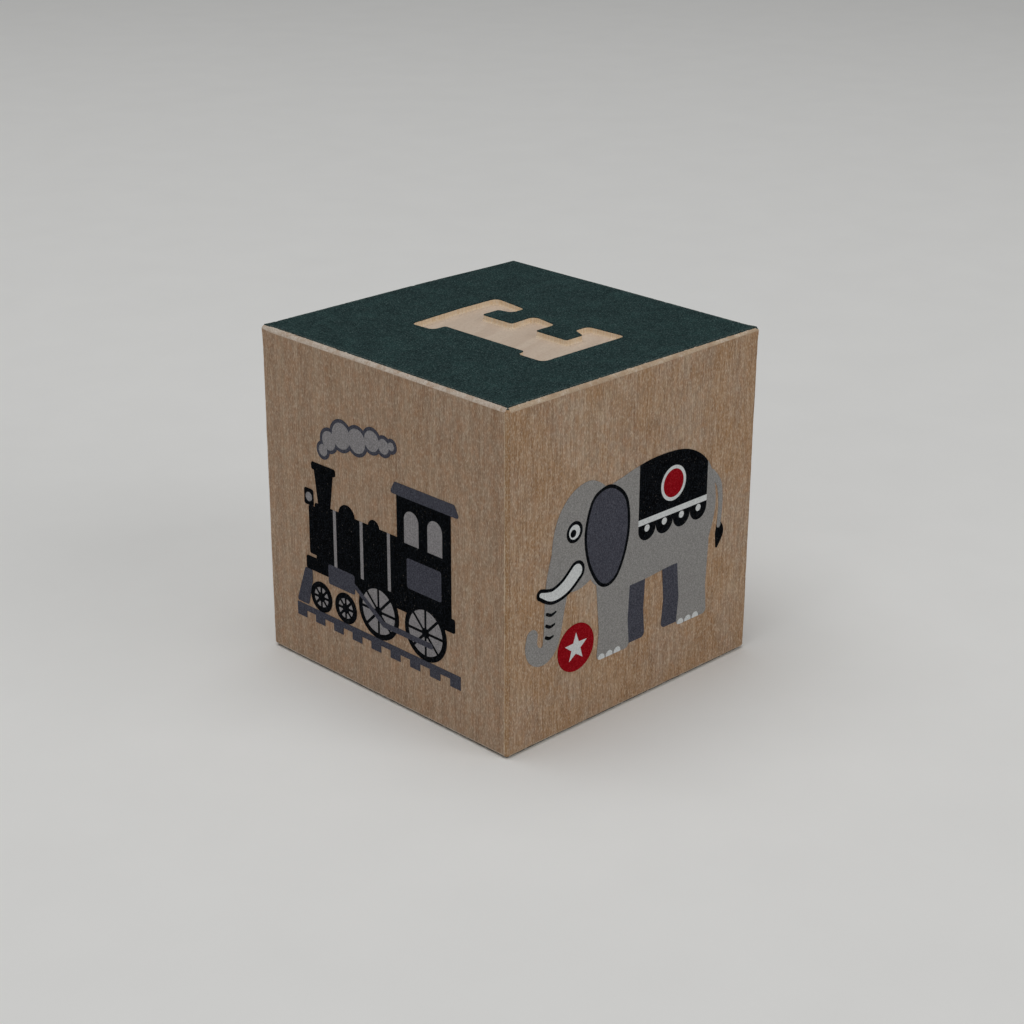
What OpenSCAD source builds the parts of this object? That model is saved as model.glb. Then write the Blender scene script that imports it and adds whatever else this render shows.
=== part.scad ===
// Wooden alphabet block of the 1 3/4 inch class.
//
// A solid cube of basswood with narrow eased edges. The top and the underside
// are painted, and a letter is cut through the paint into the bare wood of
// each. The four sides carry flat printed pictures of things whose names
// begin with the letter: an elephant, an engine, an egg and an envelope.
// Each colour is a pull of ink by itself, so it is a film by itself here,
// cut out where a later colour takes its place.
//
// Frame: millimetres, +Z up, the origin at the middle of the underside.
// The capital reads upright from the front, which faces -Y.

/* [Block] */
// Side of the wooden cube, without its paint and ink
block_side = 44.5; // [40:0.5:60]
// Width of the flat that eases each edge, measured along a face
edge_flat = 0.5; // [0.2:0.05:1.5]

/* [Paint and ink] */
// Thickness of the paint on the top and the underside
paint_t = 0.1; // [0.05:0.01:0.2]
// Thickness of the ink on the sides
ink_t = 0.06; // [0.03:0.01:0.12]

/* [Letters] */
// Depth of the cut letters in the wood, below the paint
letter_depth = 0.8; // [0.3:0.05:3]
// Radius of the cutter, left in the outward corners of the letters
cutter_r = 0.9; // [0.2:0.05:1]
// Wear of the letters' inward corners, as a radius
corner_wear = 0.35; // [0.1:0.05:0.6]
// Distance of the capital's middle in front of the face's middle
capital_drop = 1.65; // [0:0.05:4]
// Distance of the capital's middle left of the face's middle
capital_left = 0.6; // [0:0.1:2]

/* [Capital letter] */
// Height of the capital
capital_h = 23; // [18:0.1:28]
// Width of the stem
capital_stem_w = 6.9; // [4:0.1:9]
// Thickness of the top and bottom arms
capital_arm_t = 4.05; // [2.5:0.05:5]
// Reach of the top and bottom arms past the stem
capital_arm_reach = 6.45; // [5:0.05:8]
// Thickness of the middle arm
capital_bar_t = 4.25; // [2.5:0.05:5]
// Reach of the middle arm past the stem
capital_bar_reach = 4.3; // [2:0.1:5]
// Width of the slab that ends the top and bottom arms
capital_slab_w = 3.6; // [2.8:0.1:4.5]
// Drop of that slab past its arm
capital_slab_drop = 2.05; // [1:0.05:2.5]
// Lean of the ends of the arms
capital_lean = 0.8; // [0.3:0.05:1.2]
// Reach of the serif at the head of the stem
capital_head_serif = 2.35; // [0.8:0.05:3]
// Reach of the serif at the foot of the stem
capital_foot_serif = 1.35; // [0.8:0.05:3]
// Fall of the top edge at the head serif
capital_fall = 0.6; // [0.2:0.05:1.5]

/* [Small letter] */
// Radius of the small letter's bowl
small_r = 8.4; // [7:0.1:12]
// Width of its stroke
small_stroke_w = 3.3; // [2:0.1:4.5]
// Thickness of its crossbar
small_bar_t = 2.6; // [1.5:0.1:3.5]
// Angle below the crossbar at which its mouth ends
small_mouth = 38; // [25:1:60]

/* [Pictures] */
// Distance of the pictures' middles below the middle of the block
picture_drop = 0.9; // [0:0.1:2]
// Distance of the pictures' middles left of the middle of their face
picture_left = 1.2; // [0:0.1:2]
// Width of the lines drawn round shapes
line_w = 0.45; // [0.3:0.05:0.8]
// Width of the elephant, from trunk to rump
elephant_w = 36; // [28:0.5:37]
// Width of the engine, from catcher to cab roof
engine_w = 31; // [26:0.5:34]
// Width of the egg in its cup, across the saucer
egg_w = 26; // [20:0.5:28]
// Width of the envelope
envelope_w = 32; // [24:0.5:35]

/* [Hidden] */

$fn = 96;
// Steps in one rounded corner and in one span of a smooth outline
corner_steps = 6;
span_steps = 8;

// How far a cut runs past the face it opens
overrun = 0.5;

wood_colour = "#c8b08f";
paint_colour = "#2c3d3d";
black_colour = "#16181a";
grey_colour = "#8d8b8a";
slate_colour = "#4c4a51";
pale_colour = "#a5a3a2";
white_colour = "#dadcdc";
red_colour = "#a3141d";

half_side = block_side / 2;
wood_z = paint_t;
wood_top_z = wood_z + block_side;
picture_z = wood_z + half_side - picture_drop;

// The four sides, each as the turn that brings the front face to it
front_side = 0;
right_side = 90;
back_side = 180;
left_side = -90;

// Outlines

function unit(v) = v / norm(v);

function side_normal(v) = [v.y, -v.x];

// Points of a circle's arc, counter-clockwise when the sweep is positive
function arc(centre, r, from, sweep, steps) =
    [for (i = [0 : steps]) centre + r * [cos(from + sweep * i / steps), sin(from + sweep * i / steps)]];

// The arc that rounds one corner of an outline
function corner_arc(before, corner, after, r, way) =
    let (
        a = unit(before - corner),
        b = unit(after - corner),
        half = acos(a * b) / 2,
        centre = corner + unit(a + b) * r / sin(half),
        start = corner + a * r / tan(half) - centre
    )
    arc(centre, r, atan2(start.y, start.x), way * (180 - 2 * half), corner_steps);

// A counter-clockwise outline with rounded corners, and its inward corners
// rounded by a radius of their own, or left sharp where that is zero
function rounded(points, r, inward_r = 0) =
    let (n = len(points))
    [for (i = [0 : n - 1])
        let (
            before = points[(i + n - 1) % n],
            corner = points[i],
            after = points[(i + 1) % n],
            way = sign(cross(corner - before, after - corner)),
            corner_r = way > 0 ? r : inward_r
        )
        each corner_r > 0 ? corner_arc(before, corner, after, corner_r, way) : [corner]];

// A five-pointed star
function star(tip_r, waist_r) =
    [for (i = [0 : 9])
        let (r = i % 2 == 0 ? tip_r : waist_r, turn = 90 + 36 * i)
        r * [cos(turn), sin(turn)]];

// An egg that narrows upwards
function egg_outline(half_w, half_h, taper) =
    [for (turn = [0 : 5 : 355])
        [half_w * cos(turn) * (1 - taper * sin(turn) / half_w), half_h * sin(turn)]];

// A point of the smooth curve that passes through b and c
function curve_point(a, b, c, d, t) =
    b + t * (c - a) / 2
    + t * t * (2 * a - 5 * b + 4 * c - d) / 2
    + t * t * t * (3 * b - a - 3 * c + d) / 2;

// The closed smooth outline through the points
function smooth(points) =
    let (n = len(points))
    [for (i = [0 : n - 1], s = [0 : span_steps - 1])
        curve_point(points[(i + n - 1) % n], points[i], points[(i + 1) % n],
            points[(i + 2) % n], s / span_steps)];

// The open smooth line through the points, whose last value is a half width
function smooth_line(points) =
    let (last = len(points) - 1)
    concat(
        [for (i = [0 : last - 1], s = [0 : span_steps - 1])
            curve_point(points[max(i - 1, 0)], points[i], points[i + 1],
                points[min(i + 2, last)], s / span_steps)],
        [points[last]]);

function flat(p) = [p.x, p.y];

// The outline of a line whose points carry a half width, grown by a margin
function band_outline(line, margin) =
    let (
        last = len(line) - 1,
        sides = [for (i = [0 : last])
            side_normal(unit(flat(line[min(i + 1, last)]) - flat(line[max(i - 1, 0)])))]
    )
    concat(
        [for (i = [0 : last]) flat(line[i]) + sides[i] * (line[i][2] + margin)],
        [for (i = [last : -1 : 0]) flat(line[i]) - sides[i] * (line[i][2] + margin)]);

// A counter-clockwise outline whose points each step out by a distance
function grown(points, distance) =
    let (n = len(points))
    [for (i = [0 : n - 1])
        points[i] + side_normal(unit(points[(i + 1) % n] - points[(i + n - 1) % n])) * distance];

// Shapes of the pictures, drawn in shares of a picture's width w

// A closed smooth shape
module blob(shares, w, margin = 0) {
    polygon(grown(smooth(shares * w), margin));
}

function corners(low, high) = [low, [high.x, low.y], high, [low.x, high.y]];

// A straight-sided shape, counter-clockwise, with a corner radius
module plate(shares, w, radius_share) {
    polygon(rounded(shares * w, radius_share * w));
}

// A rectangle from its low corner to its high corner
module bar(low_share, high_share, w) {
    translate(low_share * w)
    square((high_share - low_share) * w);
}

// A round dot
module dot(place_share, radius_share, w, margin = 0) {
    translate(place_share * w)
    circle(r = radius_share * w + margin);
}

// A smooth stroke with round ends, from points of x, y and half width
module stroke(shares, w, margin = 0) {
    line = smooth_line(shares * w);
    polygon(band_outline(line, margin));
    for (end = [line[0], line[len(line) - 1]]) {
        translate(flat(end))
        circle(r = end[2] + margin);
    }
}

// Letters

// Slab capital, centred on its own width and height
module capital_letter() {
    top = capital_h / 2;
    arm_x = capital_stem_w + capital_arm_reach;
    bar_x = capital_stem_w + capital_bar_reach;
    slab_x = arm_x - capital_slab_w;
    arm_y = top - capital_arm_t;
    slab_y = arm_y - capital_slab_drop;
    bar_y = capital_bar_t / 2;
    serif_y = arm_y - capital_lean / 2;
    outline = [
        [-capital_foot_serif, -top],
        [arm_x, -top],
        [arm_x - capital_lean / 2, -slab_y],
        [slab_x + capital_lean, -slab_y],
        [slab_x, -arm_y],
        [capital_stem_w, -arm_y],
        [capital_stem_w, -bar_y],
        [bar_x - capital_lean, -bar_y],
        [bar_x, bar_y + capital_lean / 3],
        [capital_stem_w, bar_y],
        [capital_stem_w, arm_y],
        [slab_x, arm_y],
        [slab_x + capital_lean / 2, slab_y],
        [arm_x - capital_lean, slab_y],
        [arm_x, top],
        [capital_stem_w, top],
        [-capital_head_serif, top - capital_fall],
        [-capital_head_serif + capital_lean / 3, serif_y],
        [0, serif_y],
        [0, -serif_y],
        [-capital_foot_serif, -serif_y]
    ];
    translate([(capital_head_serif - arm_x) / 2, 0])
    polygon(rounded(outline, cutter_r, corner_wear));
}

// Round small letter, centred on its bowl
module small_letter() {
    inner_r = small_r - small_stroke_w;
    middle_r = small_r - small_stroke_w / 2;
    bar_y = small_bar_t / 2;
    mouth_way = [cos(small_mouth), -sin(small_mouth)];
    difference() {
        circle(r = small_r);
        difference() {
            circle(r = inner_r);
            translate([-small_r, -bar_y])
            square([2 * small_r, small_bar_t]);
        }
        polygon([[bar_y / tan(small_mouth), -bar_y], 2 * small_r * mouth_way, [2 * small_r, -bar_y]]);
    }
    translate(middle_r * mouth_way)
    circle(r = small_stroke_w / 2);
}

// Places on the block

// The capital's place on the top face
module on_top(z) {
    translate([-capital_left, -capital_drop, z])
    children();
}

// The small letter's place on the underside, read from below
module on_underside(z) {
    translate([0, 0, z])
    rotate([180, 0, 0])
    children();
}

// A film of ink on one side, from an outline that is upright on that face
module printed_on(side) {
    rotate([0, 0, side])
    translate([-picture_left, -half_side, picture_z])
    rotate([90, 0, 0])
    linear_extrude(height = ink_t)
    children();
}

// The wooden block and its paint

function eased_square(half) = [
    [half, half - edge_flat], [half - edge_flat, half],
    [edge_flat - half, half], [-half, half - edge_flat],
    [-half, edge_flat - half], [edge_flat - half, -half],
    [half - edge_flat, -half], [half, edge_flat - half]
];

module eased_prism() {
    linear_extrude(height = block_side, center = true)
    polygon(eased_square(half_side));
}

module eased_cube() {
    intersection() {
        eased_prism();
        rotate([90, 0, 0])
        eased_prism();
        rotate([0, 90, 0])
        eased_prism();
    }
}

module wood_block() {
    color(wood_colour)
    difference() {
        translate([0, 0, wood_z + half_side])
        eased_cube();
        on_top(wood_top_z - letter_depth)
        linear_extrude(height = letter_depth + overrun)
        capital_letter();
        on_underside(wood_z + letter_depth)
        linear_extrude(height = letter_depth + overrun)
        small_letter();
    }
}

module paint_square() {
    square(block_side - 2 * edge_flat, center = true);
}

module top_paint() {
    color(paint_colour)
    difference() {
        translate([0, 0, wood_top_z])
        linear_extrude(height = paint_t)
        paint_square();
        on_top(wood_top_z - overrun)
        linear_extrude(height = paint_t + 2 * overrun)
        capital_letter();
    }
}

module bottom_paint() {
    color(paint_colour)
    difference() {
        linear_extrude(height = paint_t)
        paint_square();
        on_underside(paint_t + overrun)
        linear_extrude(height = paint_t + 2 * overrun)
        small_letter();
    }
}

// Elephant, on the front

elephant_torso_shares = [
    [-0.190, -0.060], [-0.080, -0.130], [0.070, -0.140], [0.230, -0.130], [0.370, -0.140],
    [0.430, -0.040], [0.445, 0.080], [0.400, 0.210], [0.290, 0.285], [0.130, 0.300],
    [-0.030, 0.275], [-0.150, 0.230], [-0.210, 0.080]
];
elephant_head_shares = [
    [-0.130, 0.020], [-0.090, 0.130], [-0.110, 0.240], [-0.190, 0.300], [-0.280, 0.285],
    [-0.350, 0.215], [-0.380, 0.110], [-0.370, 0.010], [-0.320, -0.060], [-0.250, -0.075],
    [-0.180, -0.045]
];
elephant_ear_shares = [
    [-0.190, 0.210], [-0.215, 0.110], [-0.195, 0.000], [-0.140, -0.085], [-0.080, -0.085],
    [-0.035, -0.010], [-0.015, 0.090], [-0.030, 0.190], [-0.090, 0.245], [-0.150, 0.245]
];
// Strokes give x, y and half width
elephant_trunk_shares = [
    [-0.305, 0.100, 0.070], [-0.346, -0.010, 0.060], [-0.364, -0.110, 0.049],
    [-0.376, -0.205, 0.041], [-0.392, -0.249, 0.037], [-0.425, -0.266, 0.034],
    [-0.459, -0.251, 0.031], [-0.474, -0.217, 0.028], [-0.470, -0.180, 0.026]
];
elephant_wrinkles_shares = [
    [[-0.402, -0.118, 0.006], [-0.382, -0.127, 0.006], [-0.360, -0.122, 0.004]],
    [[-0.404, -0.160, 0.006], [-0.386, -0.169, 0.006], [-0.366, -0.165, 0.004]],
    [[-0.406, -0.202, 0.006], [-0.390, -0.210, 0.006], [-0.372, -0.207, 0.004]]
];
elephant_tail_shares = [
    [0.420, 0.160, 0.016], [0.462, 0.110, 0.013], [0.474, 0.030, 0.011], [0.468, -0.050, 0.010]
];
elephant_tuft_shares = [
    [0.469, -0.040, 0.010], [0.474, -0.080, 0.022], [0.462, -0.130, 0.006]
];
elephant_tusk_shares = [
    [-0.262, -0.005, 0.026], [-0.315, -0.045, 0.024], [-0.375, -0.060, 0.018],
    [-0.430, -0.040, 0.008]
];
elephant_leg_shares = [
    [-0.082, 0.000], [0.082, 0.000], [0.072, 0.110], [0.082, 0.300], [-0.090, 0.300],
    [-0.072, 0.110]
];
elephant_near_feet_shares = [[-0.075, -0.375], [0.335, -0.375]];
elephant_far_feet_shares = [[0.005, -0.360], [0.255, -0.360]];
elephant_foot_round_share = 0.018;
elephant_toes_shares = [[-0.058, 0.004], [-0.018, 0.004], [0.022, 0.004]];
elephant_toe_radius_share = 0.017;
elephant_eye_share = [-0.275, 0.140];
elephant_eye_radius_share = 0.026;
elephant_pupil_share = [-0.281, 0.136];
elephant_pupil_radius_share = 0.014;
// Cloth over the back: its two lower corners, its scallops and its border
elephant_cloth_low_share = [0.040, 0.050];
elephant_cloth_high_share = [0.396, 0.330];
elephant_cloth_scallops = 4;
elephant_border_low_share = 0.066;
elephant_border_high_share = 0.088;
elephant_bead_radius_share = 0.013;
elephant_sun_share = [0.216, 0.180];
elephant_sun_radius_share = 0.052;
elephant_ball_share = [-0.260, -0.287];
elephant_ball_radius_share = 0.088;
elephant_star_radius_share = 0.056;
elephant_star_waist_share = 0.023;

module elephant_legs(feet_shares) {
    for (foot_share = feet_shares) {
        translate(foot_share * elephant_w)
        plate(elephant_leg_shares, elephant_w, elephant_foot_round_share);
    }
}

module elephant_body() {
    blob(elephant_torso_shares, elephant_w);
    blob(elephant_head_shares, elephant_w);
    stroke(elephant_trunk_shares, elephant_w);
    stroke(elephant_tail_shares, elephant_w);
    elephant_legs(elephant_near_feet_shares);
}

module elephant_ear(margin = 0) {
    blob(elephant_ear_shares, elephant_w, margin);
}

// The tusk and the white of the eye
module elephant_outlined(margin = 0) {
    stroke(elephant_tusk_shares, elephant_w, margin);
    dot(elephant_eye_share, elephant_eye_radius_share, elephant_w, margin);
}

module elephant_pupil() {
    dot(elephant_pupil_share, elephant_pupil_radius_share, elephant_w);
}

module elephant_wrinkles() {
    for (wrinkle_shares = elephant_wrinkles_shares) {
        stroke(wrinkle_shares, elephant_w);
    }
}

module elephant_toes() {
    intersection() {
        elephant_legs(elephant_near_feet_shares);
        for (foot_share = elephant_near_feet_shares, toe_share = elephant_toes_shares) {
            dot(foot_share + toe_share, elephant_toe_radius_share, elephant_w);
        }
    }
}

elephant_scallop_w_share =
    (elephant_cloth_high_share.x - elephant_cloth_low_share.x) / elephant_cloth_scallops;

// A dot on the middle of each scallop
module elephant_scallop_dots(radius_share) {
    for (i = [0 : elephant_cloth_scallops - 1]) {
        dot(elephant_cloth_low_share + [(i + 0.5) * elephant_scallop_w_share, 0], radius_share,
            elephant_w);
    }
}

module elephant_cloth() {
    intersection() {
        blob(elephant_torso_shares, elephant_w);
        bar(elephant_cloth_low_share, elephant_cloth_high_share, elephant_w);
    }
    elephant_scallop_dots(elephant_scallop_w_share / 2);
}

module elephant_border() {
    intersection() {
        blob(elephant_torso_shares, elephant_w);
        bar([elephant_cloth_low_share.x, elephant_border_low_share],
            [elephant_cloth_high_share.x, elephant_border_high_share], elephant_w);
    }
    elephant_scallop_dots(elephant_bead_radius_share);
}

module elephant_sun(margin = 0) {
    dot(elephant_sun_share, elephant_sun_radius_share, elephant_w, margin);
}

module elephant_ball() {
    dot(elephant_ball_share, elephant_ball_radius_share, elephant_w);
}

module elephant_star() {
    translate(elephant_ball_share * elephant_w)
    polygon(star(elephant_star_radius_share, elephant_star_waist_share) * elephant_w);
}

module elephant_grey_ink() {
    color(grey_colour)
    printed_on(front_side)
    difference() {
        elephant_body();
        elephant_cloth();
        elephant_ear(line_w);
        elephant_outlined(line_w);
        elephant_toes();
        elephant_wrinkles();
    }
}

module elephant_slate_ink() {
    color(slate_colour)
    printed_on(front_side) {
        difference() {
            elephant_legs(elephant_far_feet_shares);
            elephant_body();
        }
        elephant_ear();
    }
}

module elephant_black_ink() {
    color(black_colour)
    printed_on(front_side) {
        difference() {
            elephant_cloth();
            elephant_border();
            elephant_sun(line_w);
        }
        difference() {
            elephant_ear(line_w);
            elephant_ear();
        }
        difference() {
            elephant_outlined(line_w);
            elephant_outlined();
        }
        difference() {
            elephant_wrinkles();
            elephant_outlined(line_w);
        }
        difference() {
            stroke(elephant_tuft_shares, elephant_w);
            elephant_body();
        }
        elephant_pupil();
    }
}

module elephant_white_ink() {
    color(white_colour)
    printed_on(front_side) {
        difference() {
            elephant_outlined();
            elephant_pupil();
        }
        difference() {
            elephant_sun(line_w);
            elephant_sun();
        }
        elephant_border();
        elephant_toes();
        elephant_star();
    }
}

module elephant_red_ink() {
    color(red_colour)
    printed_on(front_side) {
        elephant_sun();
        difference() {
            elephant_ball();
            elephant_star();
        }
    }
}

// Engine, on the left

engine_rail_low_share = [-0.500, -0.452];
engine_rail_high_share = [0.500, -0.425];
engine_sleepers = 9;
engine_sleeper_share = [0.060, 0.032];
// Wheels give x and radius, and stand on the rail
engine_wheels_shares = [[-0.340, 0.068], [-0.185, 0.068], [0.020, 0.122], [0.300, 0.122]];
engine_rim_share = 0.024;
engine_hub_radius_share = 0.022;
engine_spokes = 8;
engine_spoke_share = 0.012;
engine_frame_low_share = [-0.430, -0.250];
engine_frame_high_share = [0.470, -0.190];
engine_boiler_low_share = [-0.365, -0.210];
engine_boiler_high_share = [0.160, 0.060];
engine_boiler_bands_shares = [-0.250, -0.085, 0.080];
engine_boiler_band_w_share = 0.018;
engine_smokebox_low_share = [-0.405, -0.175];
engine_smokebox_high_share = [-0.300, 0.040];
engine_chimney_shares = [[-0.340, 0.040], [-0.270, 0.040], [-0.245, 0.215], [-0.365, 0.215]];
engine_chimney_cap_low_share = [-0.380, 0.205];
engine_chimney_cap_high_share = [-0.230, 0.238];
// The steam dome and the sand dome: x, top and half width
engine_domes_shares = [[-0.165, 0.105, 0.050], [0.000, 0.090, 0.034]];
engine_lamp_low_share = [-0.430, 0.040];
engine_lamp_high_share = [-0.372, 0.112];
engine_lamp_radius_share = 0.020;
engine_cab_low_share = [0.140, -0.200];
engine_cab_high_share = [0.450, 0.250];
engine_windows_shares = [0.225, 0.360];
engine_window_sill_share = 0.050;
engine_window_spring_share = 0.150;
engine_window_half_share = 0.042;
engine_panel_low_share = [0.195, -0.140];
engine_panel_high_share = [0.395, -0.010];
engine_roof_shares = [[0.100, 0.240], [0.500, 0.240], [0.470, 0.292], [0.130, 0.292]];
engine_catcher_shares = [
    [-0.500, -0.418], [-0.425, -0.418], [-0.395, -0.300], [-0.395, -0.250], [-0.440, -0.250]
];
engine_cylinder_low_share = [-0.290, -0.278];
engine_cylinder_high_share = [-0.125, -0.190];
engine_rod_shares = [[0.050, -0.350, 0.013], [0.330, -0.350, 0.013]];
engine_drive_shares = [[-0.130, -0.234, 0.010], [0.050, -0.350, 0.013]];
engine_corner_share = 0.010;
// Puffs of smoke: x, y and radius
engine_smoke_shares = [
    [-0.300, 0.306, 0.040], [-0.262, 0.356, 0.055], [-0.185, 0.396, 0.070],
    [-0.090, 0.400, 0.066], [0.000, 0.424, 0.058], [0.070, 0.420, 0.046], [0.115, 0.432, 0.032]
];

// A rectangle with small round corners, from its low corner to its high corner
module engine_box(low_share, high_share) {
    plate(corners(low_share, high_share), engine_w, engine_corner_share);
}

module engine_track() {
    pitch_share = (1 - engine_sleeper_share.x) / (engine_sleepers - 1);
    bar(engine_rail_low_share, engine_rail_high_share, engine_w);
    for (i = [0 : engine_sleepers - 1]) {
        head_share = engine_rail_low_share + [i * pitch_share, 0];
        bar(head_share - [0, engine_sleeper_share.y], head_share + [engine_sleeper_share.x, 0],
            engine_w);
    }
}

function engine_axle_share(wheel_share) =
    [wheel_share.x, engine_rail_high_share.y + wheel_share.y];

module engine_tyres() {
    for (wheel_share = engine_wheels_shares) {
        dot(engine_axle_share(wheel_share), wheel_share.y, engine_w);
    }
}

// The pale gaps between the spokes
module engine_wheel_gaps() {
    for (wheel_share = engine_wheels_shares) {
        rim_r_share = wheel_share.y - engine_rim_share;
        translate(engine_axle_share(wheel_share) * engine_w)
        difference() {
            circle(r = rim_r_share * engine_w);
            circle(r = engine_hub_radius_share * engine_w);
            for (i = [0 : engine_spokes - 1]) {
                rotate([0, 0, 360 * i / engine_spokes])
                translate([0, -engine_spoke_share / 2 * engine_w])
                square([wheel_share.y, engine_spoke_share] * engine_w);
            }
        }
    }
}

module engine_boiler_bands() {
    for (x_share = engine_boiler_bands_shares) {
        bar([x_share, engine_frame_high_share.y],
            [x_share + engine_boiler_band_w_share, engine_boiler_high_share.y], engine_w);
    }
}

module engine_domes() {
    for (dome_share = engine_domes_shares) {
        dot([dome_share.x, dome_share.y - dome_share[2]], dome_share[2], engine_w);
        bar([dome_share.x - dome_share[2], 0],
            [dome_share.x + dome_share[2], dome_share.y - dome_share[2]], engine_w);
    }
}

module engine_windows() {
    half_share = engine_window_half_share;
    for (x_share = engine_windows_shares) {
        bar([x_share - half_share, engine_window_sill_share],
            [x_share + half_share, engine_window_spring_share], engine_w);
        dot([x_share, engine_window_spring_share], half_share, engine_w);
    }
}

module engine_rods() {
    stroke(engine_rod_shares, engine_w);
    stroke(engine_drive_shares, engine_w);
}

module engine_lamp() {
    middle_share = (engine_lamp_low_share + engine_lamp_high_share) / 2;
    dot(middle_share, engine_lamp_radius_share, engine_w);
}

module engine_black_shapes() {
    engine_tyres();
    engine_box(engine_frame_low_share, engine_frame_high_share);
    engine_box(engine_boiler_low_share, engine_boiler_high_share);
    engine_box(engine_smokebox_low_share, engine_smokebox_high_share);
    plate(engine_chimney_shares, engine_w, engine_corner_share);
    engine_box(engine_chimney_cap_low_share, engine_chimney_cap_high_share);
    engine_domes();
    engine_box(engine_lamp_low_share, engine_lamp_high_share);
    engine_box(engine_cab_low_share, engine_cab_high_share);
}

module engine_smoke(inset = 0) {
    for (puff_share = engine_smoke_shares) {
        dot([puff_share.x, puff_share.y], puff_share[2], engine_w, -inset);
    }
}

module engine_slate_shapes() {
    engine_track();
    engine_rods();
    plate(engine_roof_shares, engine_w, engine_corner_share);
    plate(engine_catcher_shares, engine_w, engine_corner_share);
    engine_box(engine_cylinder_low_share, engine_cylinder_high_share);
    engine_box(engine_panel_low_share, engine_panel_high_share);
}

module engine_black_ink() {
    color(black_colour)
    printed_on(left_side) {
        difference() {
            engine_black_shapes();
            engine_slate_shapes();
            engine_wheel_gaps();
            engine_boiler_bands();
            engine_windows();
            engine_lamp();
        }
    }
}

module engine_slate_ink() {
    color(slate_colour)
    printed_on(left_side) {
        engine_slate_shapes();
        difference() {
            engine_smoke();
            engine_smoke(line_w);
        }
    }
}

module engine_pale_ink() {
    color(pale_colour)
    printed_on(left_side) {
        difference() {
            engine_wheel_gaps();
            engine_rods();
        }
        engine_boiler_bands();
        engine_windows();
        engine_lamp();
        engine_smoke(line_w);
    }
}

// Egg in its cup, on the right

egg_middle_share = [-0.030, 0.150];
egg_half_w_share = 0.240;
egg_half_h_share = 0.310;
egg_taper_share = 0.045;
egg_speckles_shares = [
    [-0.120, 0.230, 0.015], [-0.030, 0.320, 0.012], [0.060, 0.235, 0.016], [-0.060, 0.130, 0.013],
    [0.120, 0.115, 0.011], [-0.180, 0.130, 0.011], [0.030, 0.150, 0.010], [-0.020, 0.410, 0.010],
    [0.070, 0.335, 0.010], [-0.120, 0.340, 0.010], [0.130, 0.200, 0.008], [-0.030, 0.220, 0.008]
];
egg_cup_middle_share = [-0.030, 0.020];
egg_cup_radius_share = 0.290;
egg_cup_lip_share = 0.022;
egg_band_low_share = -0.120;
egg_band_high_share = -0.040;
egg_beads = 5;
egg_bead_pitch_share = 0.098;
egg_bead_radius_share = 0.020;
egg_stem_shares = [
    [-0.160, -0.435], [0.100, -0.435], [0.035, -0.370], [0.020, -0.230], [-0.080, -0.230],
    [-0.095, -0.370]
];
egg_saucer_shares = [[-0.430, -0.425, 0.012], [-0.300, -0.455, 0.022], [0.240, -0.455, 0.022],
    [0.370, -0.425, 0.012]];
egg_spoon_handle_shares = [[0.290, -0.330, 0.010], [0.370, -0.080, 0.012], [0.425, 0.170, 0.018]];
egg_spoon_bowl_shares = [
    [0.405, 0.160], [0.450, 0.170], [0.490, 0.240], [0.492, 0.330], [0.455, 0.385],
    [0.405, 0.350], [0.375, 0.270], [0.377, 0.200]
];
egg_corner_share = 0.012;

module egg_shell(margin = 0) {
    translate(egg_middle_share * egg_w)
    polygon(grown(egg_outline(egg_half_w_share, egg_half_h_share, egg_taper_share) * egg_w, margin));
}

module egg_speckles() {
    for (speckle_share = egg_speckles_shares) {
        dot([speckle_share.x, speckle_share.y], speckle_share[2], egg_w);
    }
}

egg_cup_left_share = egg_cup_middle_share.x - egg_cup_radius_share;
egg_cup_right_share = egg_cup_middle_share.x + egg_cup_radius_share;

module egg_cup_bowl() {
    rim_y_share = egg_cup_middle_share.y;
    intersection() {
        dot(egg_cup_middle_share, egg_cup_radius_share, egg_w);
        bar([egg_cup_left_share, rim_y_share - egg_cup_radius_share],
            [egg_cup_right_share, rim_y_share], egg_w);
    }
    stroke([
        [egg_cup_left_share, rim_y_share, egg_cup_lip_share],
        [egg_cup_right_share, rim_y_share, egg_cup_lip_share]
    ], egg_w);
}

module egg_band() {
    intersection() {
        egg_cup_bowl();
        bar([egg_cup_left_share, egg_band_low_share], [egg_cup_right_share, egg_band_high_share],
            egg_w);
    }
}

module egg_band_beads() {
    band_y_share = (egg_band_low_share + egg_band_high_share) / 2;
    first_x_share = egg_cup_middle_share.x - (egg_beads - 1) / 2 * egg_bead_pitch_share;
    for (i = [0 : egg_beads - 1]) {
        dot([first_x_share + i * egg_bead_pitch_share, band_y_share], egg_bead_radius_share, egg_w);
    }
}

module egg_slate_shapes() {
    stroke(egg_saucer_shares, egg_w);
    stroke(egg_spoon_handle_shares, egg_w);
    blob(egg_spoon_bowl_shares, egg_w);
}

module egg_pale_ink() {
    color(pale_colour)
    printed_on(right_side) {
        difference() {
            egg_shell();
            egg_cup_bowl();
            egg_speckles();
        }
        egg_band_beads();
    }
}

module egg_slate_ink() {
    color(slate_colour)
    printed_on(right_side) {
        difference() {
            egg_slate_shapes();
            plate(egg_stem_shares, egg_w, egg_corner_share);
        }
        egg_speckles();
    }
}

module egg_black_ink() {
    color(black_colour)
    printed_on(right_side) {
        difference() {
            egg_shell(line_w);
            egg_shell();
            egg_cup_bowl();
        }
        difference() {
            union() {
                egg_cup_bowl();
                plate(egg_stem_shares, egg_w, egg_corner_share);
            }
            egg_band();
        }
    }
}

module egg_red_ink() {
    color(red_colour)
    printed_on(right_side)
    difference() {
        egg_band();
        egg_band_beads();
    }
}

// Envelope, on the back

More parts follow.
